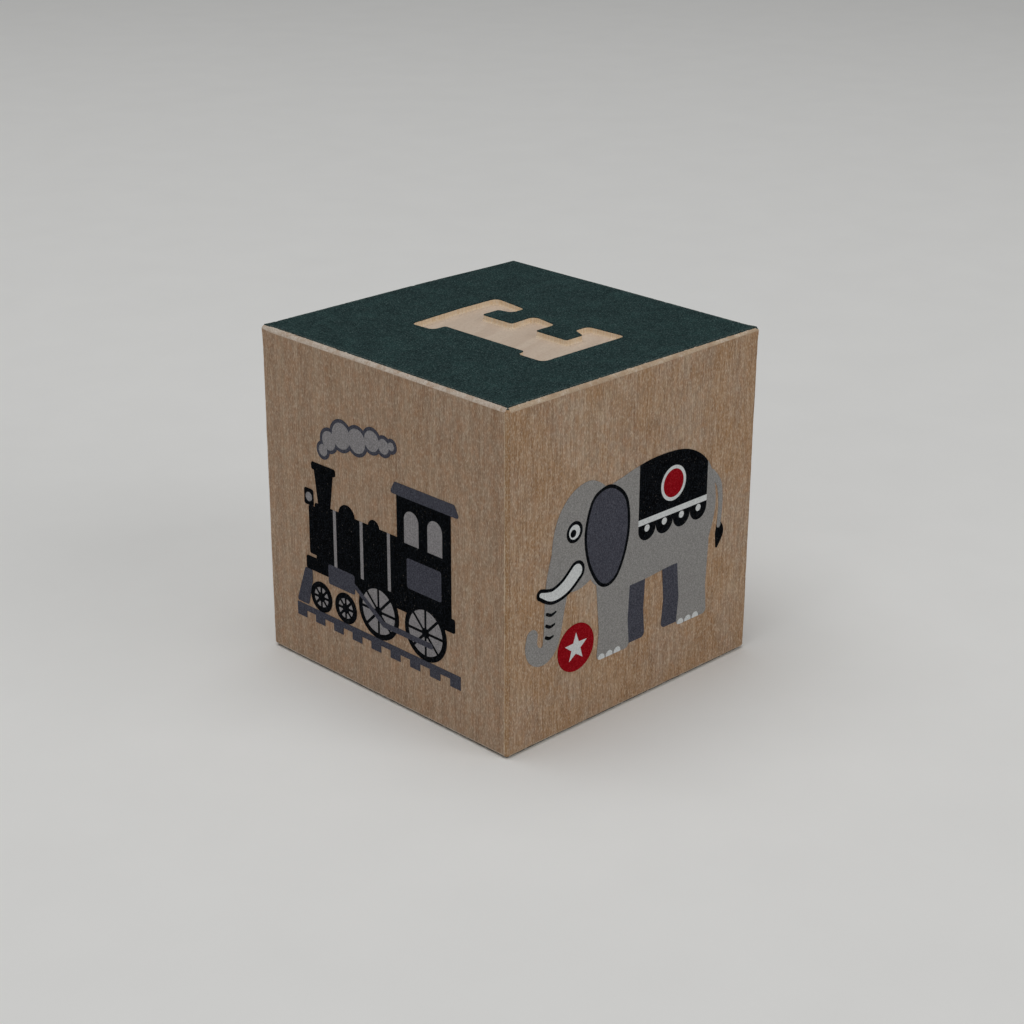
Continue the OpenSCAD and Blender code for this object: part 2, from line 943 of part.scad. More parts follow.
envelope_half_share = [0.490, 0.320];
envelope_shadow_shift_share = [0.020, -0.024];
envelope_corner_share = 0.020;
envelope_flap_tip_share = [0.000, -0.070];
envelope_fold_top_share = [0.105, 0.010];
envelope_fold_half_share = 0.0045;
envelope_seal_radius_share = 0.088;
envelope_seal_bumps = 12;
envelope_bump_radius_share = 0.018;
envelope_seal_star_share = 0.052;
envelope_seal_waist_share = 0.021;

module envelope_sheet(inset = 0) {
    half = envelope_half_share * envelope_w - [inset, inset];
    polygon(rounded(corners(-half, half), envelope_corner_share * envelope_w));
}

module envelope_flap(inset = 0) {
    right_share = envelope_half_share;
    left_share = [-right_share.x, right_share.y];
    intersection() {
        envelope_sheet(line_w);
        translate([0, inset])
        polygon([left_share, envelope_flap_tip_share, right_share] * envelope_w);
    }
}

// The two folds that rise from the lower corners to the flap
module envelope_folds() {
    foot_share = envelope_half_share;
    top_share = envelope_fold_top_share;
    line_share = envelope_fold_half_share;
    intersection() {
        envelope_sheet(line_w);
        for (way = [-1, 1]) {
            stroke([
                [way * foot_share.x, -foot_share.y, line_share],
                [way * top_share.x, top_share.y, line_share]
            ], envelope_w);
        }
    }
}

module envelope_seal() {
    translate(envelope_flap_tip_share * envelope_w) {
        circle(r = envelope_seal_radius_share * envelope_w);
        for (i = [0 : envelope_seal_bumps - 1]) {
            rotate([0, 0, 360 * i / envelope_seal_bumps])
            translate([envelope_seal_radius_share * envelope_w, 0])
            circle(r = envelope_bump_radius_share * envelope_w);
        }
    }
}

module envelope_seal_star() {
    translate(envelope_flap_tip_share * envelope_w)
    polygon(star(envelope_seal_star_share, envelope_seal_waist_share) * envelope_w);
}

module envelope_white_ink() {
    color(white_colour)
    printed_on(back_side) {
        difference() {
            envelope_sheet(line_w);
            envelope_flap();
            envelope_folds();
            envelope_seal();
        }
        envelope_seal_star();
    }
}

module envelope_grey_ink() {
    color(grey_colour)
    printed_on(back_side) {
        difference() {
            translate(envelope_shadow_shift_share * envelope_w)
            envelope_sheet();
            envelope_sheet();
        }
        difference() {
            envelope_flap(line_w);
            envelope_seal();
        }
        difference() {
            envelope_folds();
            envelope_flap();
            envelope_seal();
        }
    }
}

module envelope_black_ink() {
    color(black_colour)
    printed_on(back_side) {
        difference() {
            envelope_sheet();
            envelope_sheet(line_w);
        }
        difference() {
            envelope_flap();
            envelope_flap(line_w);
            envelope_seal();
        }
    }
}

module envelope_red_ink() {
    color(red_colour)
    printed_on(back_side)
    difference() {
        envelope_seal();
        envelope_seal_star();
    }
}

wood_block();
top_paint();
bottom_paint();
elephant_grey_ink();
elephant_slate_ink();
elephant_black_ink();
elephant_white_ink();
elephant_red_ink();
engine_black_ink();
engine_slate_ink();
engine_pale_ink();
egg_pale_ink();
egg_slate_ink();
egg_black_ink();
egg_red_ink();
envelope_white_ink();
envelope_grey_ink();
envelope_black_ink();
envelope_red_ink();
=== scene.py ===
import math

import bmesh
import bpy
from mathutils import Matrix, Vector


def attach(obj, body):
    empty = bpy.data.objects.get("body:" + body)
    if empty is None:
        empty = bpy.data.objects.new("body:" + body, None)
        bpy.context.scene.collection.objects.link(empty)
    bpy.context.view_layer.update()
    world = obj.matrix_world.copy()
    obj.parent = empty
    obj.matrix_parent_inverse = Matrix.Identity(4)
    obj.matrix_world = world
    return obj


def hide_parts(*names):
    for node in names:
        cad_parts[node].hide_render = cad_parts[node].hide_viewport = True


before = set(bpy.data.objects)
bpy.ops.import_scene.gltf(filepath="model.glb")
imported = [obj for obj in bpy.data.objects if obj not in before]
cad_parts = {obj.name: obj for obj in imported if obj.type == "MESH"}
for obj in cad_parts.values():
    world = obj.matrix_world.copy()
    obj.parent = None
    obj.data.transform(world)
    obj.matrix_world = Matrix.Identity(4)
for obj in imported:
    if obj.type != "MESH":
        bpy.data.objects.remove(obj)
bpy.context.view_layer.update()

MM = 0.001
# A small distance, for telling whether a point lies on a plane
NEAR = 0.02 * MM

# The block, its paint and its letters, with the sizes of the part
BLOCK_SIDE = 44.5 * MM
EDGE_FLAT = 0.5 * MM
PAINT_T = 0.1 * MM
LETTER_DEPTH = 0.8 * MM
CUTTER_R = 0.9 * MM
WORN_POINT_R = 0.35 * MM
HALF_SIDE = BLOCK_SIDE / 2
WOOD_LOW_Z = PAINT_T
WOOD_HIGH_Z = WOOD_LOW_Z + BLOCK_SIDE
CUBE_MIDDLE = Vector((0, 0, WOOD_LOW_Z + HALF_SIDE))
FACE_HALF = HALF_SIDE - EDGE_FLAT
# Everything inside this half width of the top and the underside is the letter's
LETTER_REACH = 16 * MM

CAPITAL_H = 23.0 * MM
CAPITAL_STEM_W = 6.9 * MM
CAPITAL_ARM_T = 4.05 * MM
CAPITAL_ARM_REACH = 6.45 * MM
CAPITAL_BAR_T = 4.25 * MM
CAPITAL_BAR_REACH = 4.3 * MM
CAPITAL_SLAB_W = 3.6 * MM
CAPITAL_SLAB_DROP = 2.05 * MM
CAPITAL_LEAN = 0.8 * MM
CAPITAL_HEAD_SERIF = 2.35 * MM
CAPITAL_FOOT_SERIF = 1.35 * MM
CAPITAL_FALL = 0.6 * MM
CAPITAL_DROP = 1.65 * MM
CAPITAL_LEFT = 0.6 * MM

SMALL_R = 8.4 * MM
SMALL_STROKE_W = 3.3 * MM
SMALL_BAR_T = 2.6 * MM
SMALL_MOUTH = math.radians(38)

# How many steps the arcs have: round a letter's corner, the stroke's end, the ring and its hole
CORNER_STEPS = 8
END_STEPS = 16
RING_STEPS = 120
HOLE_STEPS = 60

# The flats are slightly round: a profile of 0.5 would be a quarter of a circle
FLAT_SEGMENTS = 6
FLAT_PROFILE = 0.4
# How finely the flats and the letters' walls are divided
EDGE_PITCH = 0.1 * MM
WALL_PITCH = 0.22 * MM

# How deep the wear goes on the flats and along their borders, and how broad its waves are
ARRIS_WEAR = 0.08 * MM
ARRIS_WAVE = 2.2 * MM
BORDER_WEAR = 0.03 * MM
BORDER_WAVE = 1.3 * MM
# How deep the ragged border of the paint is cut by teeth and by chips, and how broad they are
PAINT_TEETH = 0.09 * MM
PAINT_TOOTH_W = 0.2 * MM
PAINT_CHIP = 0.18 * MM
PAINT_CHIP_W = 0.5 * MM
# How wide the rim is along which the paint is worn thin
PAINT_RIM_W = 0.4 * MM
# The torn fibres of the letters' walls: how far they stand out, how wide they are, and how many
# times longer than wide
WALL_FIBRE = 0.07 * MM
WALL_FIBRE_W = 0.34 * MM
WALL_FIBRE_STRETCH = 8
# The round foot that the cutter's nose left along the walls
CUTTER_NOSE_R = 0.34 * MM
CUTTER_NOSE_STEPS = 4
# How far the loops are turned while they are filled
FILL_TURN = math.radians(30)

# Top corners that are worn less or more than the rest: their sides, their wear along each axis
# as a share of the usual, and how far along the edges that reaches
WORN_CORNERS = [
    ((-1, 1), (0.75, 0.75, 0.75), 1.5 * MM),
    ((-1, 1), (1, 1, 1.15), 25 * MM),
    ((1, -1), (0.5, 1, 1), 2.2 * MM),
    ((1, -1), (1, 0.7, 0.7), 18 * MM),
    ((1, 1), (1.4, 1, 1), 12 * MM),
    ((1, 1), (1, 2.2, 1), 20 * MM),
]
# A corner's own points lie no further than this from its sharp point
CORNER_REACH = 1.5 * EDGE_FLAT
# Top corners that a drop of paint ran over: their sides, and how far down it ran
PAINTED_CORNERS = [((-1, -1), 0.18 * MM), ((1, -1), 0.14 * MM)]
# How far beside such a corner the coat's border is whole
PAINTED_CORNER_W = 0.5 * MM

# Where a face shows end grain, its normal goes up or down by more than the first value. It goes
# along x or along y by less than the second, which leaves out the corners
END_GRAIN_RISE = 0.06
END_GRAIN_ASIDE = 0.2


# Modelling


def select_only(piece):
    bpy.ops.object.select_all(action="DESELECT")
    piece.select_set(True)
    bpy.context.view_layer.objects.active = piece


def start_editing(piece):
    select_only(piece)
    bpy.ops.object.mode_set(mode="EDIT")


def stop_editing():
    bpy.ops.object.mode_set(mode="OBJECT")


def pick(piece, kind, test):
    """Selects the piece's verts, edges or faces that pass the test, and nothing else."""
    bpy.ops.mesh.select_mode(type={"verts": "VERT", "edges": "EDGE", "faces": "FACE"}[kind])
    bpy.ops.mesh.select_all(action="DESELECT")
    mesh = bmesh.from_edit_mesh(piece.data)
    found = [part for part in getattr(mesh, kind) if test(part)]
    for part in found:
        part.select_set(True)
    mesh.select_flush_mode()
    bmesh.update_edit_mesh(piece.data)
    return len(found)


def split_long_edges(piece, pitch):
    """Halves the edges until none is longer than the pitch."""
    while pick(piece, "edges", lambda edge: edge.calc_length() > pitch):
        bpy.ops.mesh.subdivide(number_cuts=1)


def name_group(piece, name, test):
    """Names the piece's points that pass the test, for a modifier to work on."""
    group = piece.vertex_groups.new(name=name)
    group.add([v.index for v in piece.data.vertices if test(v.co)], 1.0, "REPLACE")


def wear(piece, group, grain, depth, direction="NORMAL", middle=0.5, guide=None):
    """Moves a group's points by a grain texture, and applies it."""
    select_only(piece)
    modifier = piece.modifiers.new("wear", "DISPLACE")
    modifier.texture = grain
    modifier.texture_coords = "OBJECT" if guide else "LOCAL"
    modifier.texture_coords_object = guide
    modifier.vertex_group = group
    modifier.strength = depth
    modifier.direction = direction
    modifier.mid_level = middle
    bpy.ops.object.modifier_apply(modifier=modifier.name)


def grain_texture(name, grain_size, octaves=2, contrast=1.0, intensity=1.0):
    """A cloudy texture for wear. With more contrast and less intensity it leaves more whole."""
    texture = bpy.data.textures.new(name, "CLOUDS")
    texture.noise_scale = grain_size
    texture.noise_depth = octaves
    texture.contrast = contrast
    texture.intensity = intensity
    texture.use_clamp = True
    return texture


def arc(centre, radius, start, sweep, steps):
    """Points of a circle's arc, counter-clockwise when the sweep is positive."""
    turns = [start + sweep * i / steps for i in range(steps + 1)]
    return [centre + radius * Vector((math.cos(t), math.sin(t))) for t in turns]


def corner_arc(before, corner, after, radius, way):
    """The arc that rounds one corner of an outline."""
    a = (before - corner).normalized()
    b = (after - corner).normalized()
    half = math.acos(a.dot(b)) / 2
    centre = corner + (a + b).normalized() * radius / math.sin(half)
    first = corner + a * radius / math.tan(half) - centre
    start = math.atan2(first.y, first.x)
    return arc(centre, radius, start, way * (math.pi - 2 * half), CORNER_STEPS)


def rounded(corners, radius, inward_radius):
    """A counter-clockwise outline with round outward and inward corners."""
    outline = []
    for i, corner in enumerate(corners):
        before = corners[i - 1]
        after = corners[(i + 1) % len(corners)]
        way = 1 if (corner - before).cross(after - corner) > 0 else -1
        outline += corner_arc(before, corner, after, radius if way > 0 else inward_radius, way)
    return outline


def capital_outline():
    """The slab capital's outline on the top face."""
    top = CAPITAL_H / 2
    arm_x = CAPITAL_STEM_W + CAPITAL_ARM_REACH
    bar_x = CAPITAL_STEM_W + CAPITAL_BAR_REACH
    slab_x = arm_x - CAPITAL_SLAB_W
    arm_y = top - CAPITAL_ARM_T
    slab_y = arm_y - CAPITAL_SLAB_DROP
    bar_y = CAPITAL_BAR_T / 2
    serif_y = arm_y - CAPITAL_LEAN / 2
    corners = [
        (-CAPITAL_FOOT_SERIF, -top),
        (arm_x, -top),
        (arm_x - CAPITAL_LEAN / 2, -slab_y),
        (slab_x + CAPITAL_LEAN, -slab_y),
        (slab_x, -arm_y),
        (CAPITAL_STEM_W, -arm_y),
        (CAPITAL_STEM_W, -bar_y),
        (bar_x - CAPITAL_LEAN, -bar_y),
        (bar_x, bar_y + CAPITAL_LEAN / 3),
        (CAPITAL_STEM_W, bar_y),
        (CAPITAL_STEM_W, arm_y),
        (slab_x, arm_y),
        (slab_x + CAPITAL_LEAN / 2, slab_y),
        (arm_x - CAPITAL_LEAN, slab_y),
        (arm_x, top),
        (CAPITAL_STEM_W, top),
        (-CAPITAL_HEAD_SERIF, top - CAPITAL_FALL),
        (-CAPITAL_HEAD_SERIF + CAPITAL_LEAN / 3, serif_y),
        (0, serif_y),
        (0, -serif_y),
        (-CAPITAL_FOOT_SERIF, -serif_y),
    ]
    place = Vector(((CAPITAL_HEAD_SERIF - arm_x) / 2 - CAPITAL_LEFT, -CAPITAL_DROP))
    outline = rounded([Vector(corner) for corner in corners], CUTTER_R, WORN_POINT_R)
    return [place + point for point in outline]


def small_outlines():
    """The round small letter's outline and its eye's, as they lie on the underside."""
    inner_r = SMALL_R - SMALL_STROKE_W
    middle_r = SMALL_R - SMALL_STROKE_W / 2
    bar_y = SMALL_BAR_T / 2
    middle = Vector((0, 0))
    end = middle_r * Vector((math.cos(SMALL_MOUTH), -math.sin(SMALL_MOUTH)))
    bar_turn = math.asin(bar_y / SMALL_R)
    eye_turn = math.asin(bar_y / inner_r)
    letter = arc(middle, SMALL_R, -bar_turn, 2 * math.pi - SMALL_MOUTH + bar_turn, RING_STEPS)
    letter += arc(end, SMALL_STROKE_W / 2, -SMALL_MOUTH, math.pi, END_STEPS)[1:-1]
    letter += arc(middle, inner_r, -SMALL_MOUTH, SMALL_MOUTH + eye_turn - math.pi, HOLE_STEPS)
    eye = arc(middle, inner_r, eye_turn, math.pi - 2 * eye_turn, HOLE_STEPS)
    return [[Vector((p.x, -p.y)) for p in outline] for outline in (letter, eye)]


def draw_outline(name, points, z):
    """Draws a closed outline point by point, as one loop of edges."""
    bpy.ops.object.select_all(action="DESELECT")
    bpy.ops.mesh.primitive_plane_add(size=MM)
    line = bpy.context.object
    line.name = name
    start_editing(line)
    pick(line, "verts", lambda v: v.index > 0)
    bpy.ops.mesh.delete(type="VERT")
    pick(line, "verts", lambda v: True)
    pen = bmesh.from_edit_mesh(line.data).verts[:][0].co.copy()
    bpy.ops.transform.translate(value=Vector((*points[0], z)) - pen)
    for here, there in zip(points, points[1:]):
        step = there - here
        bpy.ops.mesh.extrude_vertices_move(TRANSFORM_OT_translate={"value": (*step, 0)})
    pick(line, "verts", lambda v: len(v.link_edges) == 1)
    bpy.ops.mesh.edge_face_add()
    split_long_edges(line, WALL_PITCH)
    stop_editing()
    return line


def cut_wall(line, z, way, inside, fibre, upright):
    """Turns a letter's outline into its cut wall: straight, round at the foot where the cutter's
    nose ran, and rough with upright fibres. The wall faces the inside or the outside."""
    start_editing(line)
    bpy.ops.mesh.select_all(action="SELECT")
    straight = LETTER_DEPTH - CUTTER_NOSE_R
    bpy.ops.mesh.extrude_region_move(TRANSFORM_OT_translate={"value": (0, 0, way * straight)})
    bpy.ops.mesh.select_all(action="SELECT")
    bpy.ops.mesh.normals_make_consistent(inside=inside)
    pick(line, "verts", lambda v: abs(v.co.z - z) > straight / 2)
    for step in range(CUTTER_NOSE_STEPS):
        here, there = (math.pi / 2 * i / CUTTER_NOSE_STEPS for i in (step, step + 1))
        down = CUTTER_NOSE_R * (math.sin(there) - math.sin(here))
        bpy.ops.mesh.extrude_region_move(TRANSFORM_OT_translate={"value": (0, 0, way * down)})
        mesh = bmesh.from_edit_mesh(line.data)
        mesh.normal_update()
        bmesh.update_edit_mesh(line.data)
        bpy.ops.transform.shrink_fatten(value=CUTTER_NOSE_R * (math.cos(here) - math.cos(there)))
    stop_editing()
    name_group(line, "wall", lambda co: abs(co.z - z) < LETTER_DEPTH - NEAR)
    wear(line, "wall", fibre, WALL_FIBRE, guide=upright)


def fill_selected():
    """Fills between the selected loops. The fill leaves faces out along a border that runs
    straight across, so the loops are turned askew for it and then back."""
    bpy.ops.transform.rotate(value=FILL_TURN, orient_axis="Z", center_override=(0, 0, 0))
    bpy.ops.mesh.fill(use_beauty=True)
    bpy.ops.transform.rotate(value=-FILL_TURN, orient_axis="Z", center_override=(0, 0, 0))


# Materials


# In millimetres: where the pith lies beside the block, how far the rings drift, and how far
# apart the marks of the cutter's rounds are
PITH_X = -31.0
PITH_Y = 78.0
RING_DRIFT = 3.0
TOOL_MARK_PITCH = 0.57

# The sockets of a Mix node that take and give colours share their names with others
MIX_A = 6
MIX_B = 7
MIX_RESULT = 2


def linear(hex_colour):
    """An sRGB hex colour as the linear colour that a shader reads."""
    parts = [int(hex_colour[i:i + 2], 16) / 255 for i in (1, 3, 5)]
    return tuple(c / 12.92 if c < 0.04045 else ((c + 0.055) / 1.055) ** 2.4 for c in parts) + (1.0,)


def add(tree, kind, feeds=None, stops=None, **settings):
    """Adds a node with its settings, and feeds its inputs with values or other nodes' outputs.
    The stops of a colour ramp are places and hex colours."""
    made = tree.nodes.new("ShaderNode" + kind)
    for name, value in settings.items():
        setattr(made, name, value)
    for socket, feed in (feeds or {}).items():
        if isinstance(feed, bpy.types.NodeSocket):
            tree.links.new(feed, made.inputs[socket])
        else:
            made.inputs[socket].default_value = feed
    if stops:
        ramp = made.color_ramp.elements
        while len(ramp) < len(stops):
            ramp.new(1.0)
        for element, (place, colour) in zip(ramp, stops):
            element.position = place
            element.color = linear(colour)
    main = MIX_RESULT if kind == "Mix" else 0
    return made.outputs[main] if made.outputs else None


def new_material(name):
    material = bpy.data.materials.new(name)
    material.use_nodes = True
    material.node_tree.nodes.clear()
    return material


def make_matt(material, colour, roughness, specular, relief, strength, depth):
    """Ends a material: a matt surface of a colour, with a relief that is so deep in millimetres."""
    tree = material.node_tree
    bump = add(tree, "Bump", {"Strength": strength, "Distance": depth * MM, "Height": relief})
    shader = add(tree, "BsdfPrincipled", {"Base Color": colour, "Roughness": roughness,
                                          "IOR": 1.45, "Specular IOR Level": specular,
                                          "Normal": bump})
    add(tree, "OutputMaterial", {"Surface": shader})
    return material


def in_millimetres(tree, stretch=(1, 1, 1), move=(0, 0, 0), turn=(0, 0, 0)):
    """The place on the piece in millimetres, stretched so that a pattern runs along the grain."""
    place = add(tree, "TexCoord")
    spot = place.node.outputs["Object"]
    scale = [s / MM for s in stretch]
    return add(tree, "Mapping", {0: spot, "Location": move, "Rotation": turn, "Scale": scale})


def grain_pattern(tree, width, length, detail=2.0, rough=0.5, move=(0, 0, 0), distort=0.0):
    """Cloudy grains that are so wide across the grain of the wood, and so long along it, in
    millimetres. A move sets one such pattern apart from the next."""
    spot = in_millimetres(tree, (1 / width, 1 / width, 1 / length), move)
    return add(tree, "TexNoise", {"Vector": spot, "Scale": 1.0, "Detail": detail,
                                  "Roughness": rough, "Distortion": distort})


def growth_rings(tree, ring_w):
    """Bands of early and late wood, so many millimetres wide, round a pith outside the block."""
    drift = grain_pattern(tree, 9.0, 30.0, detail=2.0, move=(3, 5, 7))
    bent = add(tree, "VectorMath", {0: drift.node.outputs["Color"], 1: (RING_DRIFT, RING_DRIFT, 0)},
               operation="MULTIPLY")
    spot = in_millimetres(tree, (1, 1, 0), move=(-PITH_X, -PITH_Y, 0))
    off_pith = add(tree, "VectorMath", {0: spot, 1: bent}, operation="ADD")
    radius = add(tree, "VectorMath", {0: off_pith}, operation="LENGTH")
    across = add(tree, "Math", {0: radius.node.outputs["Value"], 1: 1 / ring_w},
                 operation="MULTIPLY")
    return add(tree, "TexNoise", {"W": across, "Scale": 1.0, "Detail": 3.0, "Roughness": 0.6},
               noise_dimensions="1D")


def facing(tree, axis):
    """How squarely the surface faces along one of the block's axes, from 0 to 1."""
    turned = add(tree, "SeparateXYZ", {0: add(tree, "TexCoord").node.outputs["Normal"]})
    return add(tree, "Math", {0: turned.node.outputs[axis]}, operation="ABSOLUTE")


def lay_over(tree, colour, hex_colour, pattern, spread, strengths, where=None):
    """Lays a second colour over a colour. As the pattern's value goes through the spread, the
    second colour goes from the first strength to the last, and only as strongly as a place asks."""
    share = add(tree, "MapRange", {"Value": pattern, "From Min": spread[0], "From Max": spread[1],
                                   "To Min": strengths[0], "To Max": strengths[1]})
    if where is not None:
        share = add(tree, "Math", {0: share, 1: where}, operation="MULTIPLY")
    return add(tree, "Mix", {"Factor": share, MIX_A: colour, MIX_B: linear(hex_colour)},
               data_type="RGBA")


def sanded_basswood():
    """Basswood planed along the grain and sanded: grey-brown, with fine upright fibres and soft
    bands. The two faces cut along the rings have a blotchy warm figure, and the worn upright
    edges are browner, with a painted highlight: a light line where they leave the left and
    right faces."""
    material = new_material("sanded_basswood")
    tree = material.node_tree
    toward_x = facing(tree, "X")
    toward_y = facing(tree, "Y")
    rings = growth_rings(tree, 2.4)
    wood = add(tree, "ValToRGB", {0: rings}, stops=[
        (0.30, "#a1846c"), (0.50, "#aa8d75"), (0.72, "#b3987f")])
    # Tints as wide as a few fibres, between pinkish and grey
    tint = grain_pattern(tree, 0.9, 1.3, detail=3.0, rough=0.6, move=(17, 4, 9))
    wood = lay_over(tree, wood, "#b68a68", tint, (0.50, 0.66), (0.0, 0.45))
    wood = lay_over(tree, wood, "#a49480", tint, (0.34, 0.50), (0.4, 0.0))
    # Warm figure, some millimetres wide, on the faces cut along the rings
    figure = grain_pattern(tree, 1.9, 3.0, detail=3.0, rough=0.6, move=(11, 2, 5), distort=0.9)
    flat_sawn = add(tree, "MapRange", {"Value": toward_y, "From Min": 0.6, "From Max": 0.95,
                                       "To Min": 0.2})
    wood = lay_over(tree, wood, "#b38a60", figure, (0.48, 0.66), (0.0, 0.5), where=flat_sawn)
    wood = lay_over(tree, wood, "#c5ad8f", figure, (0.32, 0.46), (0.45, 0.0), where=flat_sawn)
    # Broad warm shade, as the heartwood comes nearer
    shade = grain_pattern(tree, 6.5, 11.0, detail=2.0, rough=0.5, move=(2, 15, 6), distort=0.4)
    wood = lay_over(tree, wood, "#ad855c", shade, (0.42, 0.60), (0.0, 0.6), where=flat_sawn)
    # Upright edges, handled until they are brown
    side = add(tree, "Math", {0: toward_x, 1: toward_y}, operation="MAXIMUM")
    wood = lay_over(tree, wood, "#a9835c", side, (0.90, 0.999), (0.85, 0.0))
    # Painted highlight: a light line where they leave the left and right faces, and a dark line
    #     # where they leave the others
    beside = add(tree, "MapRange", {"Value": toward_x, "From Min": 0.90, "From Max": 0.96})
    wood = lay_over(tree, wood, "#e6d0b2", toward_x, (0.996, 0.9997), (0.95, 0.0), where=beside)
    beside = add(tree, "MapRange", {"Value": toward_y, "From Min": 0.80, "From Max": 0.95})
    wood = lay_over(tree, wood, "#805f45", toward_y, (0.996, 0.9995), (0.6, 0.0), where=beside)
    # Fibres of a few hundredths of a millimetre, drawn at 0.12 mm so that they show
    fibres = grain_pattern(tree, 0.12, 2.8, detail=1.0, rough=0.5)
    strong = add(tree, "MapRange", {"Value": flat_sawn, "From Min": 0.2, "From Max": 1.0,
                                    "To Min": 0.34, "To Max": 0.42})
    wood = lay_over(tree, wood, "#7b5f49", fibres, (0.30, 0.50), (strong, 0.0))
    wood = lay_over(tree, wood, "#d6c0a9", fibres, (0.50, 0.70), (0.0, strong))
    # Flecks of pores and rays
    dark = grain_pattern(tree, 0.12, 0.40, detail=1.0, move=(5, 9, 1))
    wood = lay_over(tree, wood, "#785c45", dark, (0.50, 0.72), (0.0, 0.48))
    light = grain_pattern(tree, 0.12, 0.34, detail=1.0, move=(15, 3, 8))
    wood = lay_over(tree, wood, "#dfccb6", light, (0.50, 0.72), (0.0, 0.52))
    height = add(tree, "Math", {0: fibres, 1: dark}, operation="SUBTRACT")
    return make_matt(material, wood, roughness=0.75, specular=0.15, relief=height, strength=0.4,
                     depth=0.03)


def sanded_basswood_end_grain():
    """Basswood sanded through across the grain at the eased edges: paler than the sides, with
    the ends of its fibres as fine dots, and tanner over the faces cut along the rings."""
    material = new_material("sanded_basswood_end_grain")
    tree = material.node_tree
    rings = growth_rings(tree, 1.6)
    pale = add(tree, "ValToRGB", {0: rings}, stops=[
        (0.30, "#cbbdae"), (0.70, "#d6cabd")])
    tan = add(tree, "ValToRGB", {0: rings}, stops=[
        (0.30, "#b8a188"), (0.70, "#cdb89e")])
    flat_sawn = add(tree, "MapRange", {"Value": facing(tree, "Y"), "From Min": 0.3,
                                       "From Max": 0.5})
    wood = add(tree, "Mix", {"Factor": flat_sawn, MIX_A: pale, MIX_B: tan}, data_type="RGBA")
    worn = grain_pattern(tree, 0.9, 0.9, detail=4.0, rough=0.7, move=(7, 7, 1))
    # Towards the side the edge turns back into side grain, unevenly
    uneven = add(tree, "Math", {0: worn, 1: 1.2, 2: facing(tree, "Z")}, operation="MULTIPLY_ADD")
    wood = lay_over(tree, wood, "#a98c74", uneven, (0.70, 1.00), (0.85, 0.0))
    wood = lay_over(tree, wood, "#b4977d", worn, (0.48, 0.64), (0.0, 0.75))
    wood = lay_over(tree, wood, "#ebe1d4", worn, (0.32, 0.46), (0.5, 0.0))
    # The ends of fibres of a few hundredths of a millimetre, drawn at 0.14 mm so that they show
    dots = grain_pattern(tree, 0.14, 0.14, detail=3.0, rough=0.7)
    wood = lay_over(tree, wood, "#9d8168", dots, (0.50, 0.70), (0.0, 0.7))
    return make_matt(material, wood, roughness=0.8, specular=0.15, relief=dots, strength=0.5,
                     depth=0.03)


def routed_basswood():
    """Basswood that a cutter has opened: a smooth pinkish-grey floor with hardly any marks, and
    walls of torn upright fibres, coloured paler than the floor as painted light, which makes up
    for the light that the upright walls miss."""
    material = new_material("routed_basswood")
    tree = material.node_tree
    rings = growth_rings(tree, 2.4)
    floor = add(tree, "ValToRGB", {0: rings}, stops=[
        (0.30, "#cbb8a6"), (0.70, "#d4c3b1")])
    # Faint marks of the cutter's rounds: a wave of scale 1 is a tenth of pi long
    tool_spot = in_millimetres(tree, (1, 1, 1), move=(4.0, 2.0, 0.0), turn=(0, 0, 0.4))
    tool = add(tree, "TexWave", {"Vector": tool_spot, "Scale": math.pi / 10 / TOOL_MARK_PITCH,
                                 "Distortion": 1.4, "Detail": 2.0, "Detail Scale": 1.2},
               wave_type="RINGS", rings_direction="Z")
    floor = lay_over(tree, floor, "#a8937d", tool, (0.2, 0.9), (0.0, 0.03))
    nap = grain_pattern(tree, 0.24, 0.24, detail=3.0, rough=0.7, move=(2, 2, 2))
    floor = lay_over(tree, floor, "#ab9580", nap, (0.46, 0.70), (0.0, 0.35))
    # Bundles of torn fibres
    bundles = grain_pattern(tree, 0.22, 3.4, detail=2.0, rough=0.6)
    # Painted light: the walls are coloured paler than the floor, for the light that upright walls
    # miss
    wall = add(tree, "ValToRGB", {0: bundles}, stops=[
        (0.32, "#ead0ae"), (0.50, "#f4dfc2"), (0.68, "#f9e9d2")])
    level = add(tree, "MapRange", {"Value": facing(tree, "Z"), "From Min": 0.45,
                                   "From Max": 0.97})
    wood = add(tree, "Mix", {"Factor": level, MIX_A: wall, MIX_B: floor}, data_type="RGBA")
    return make_matt(material, wood, roughness=0.8, specular=0.15, relief=bundles, strength=0.3,
                     depth=0.04)


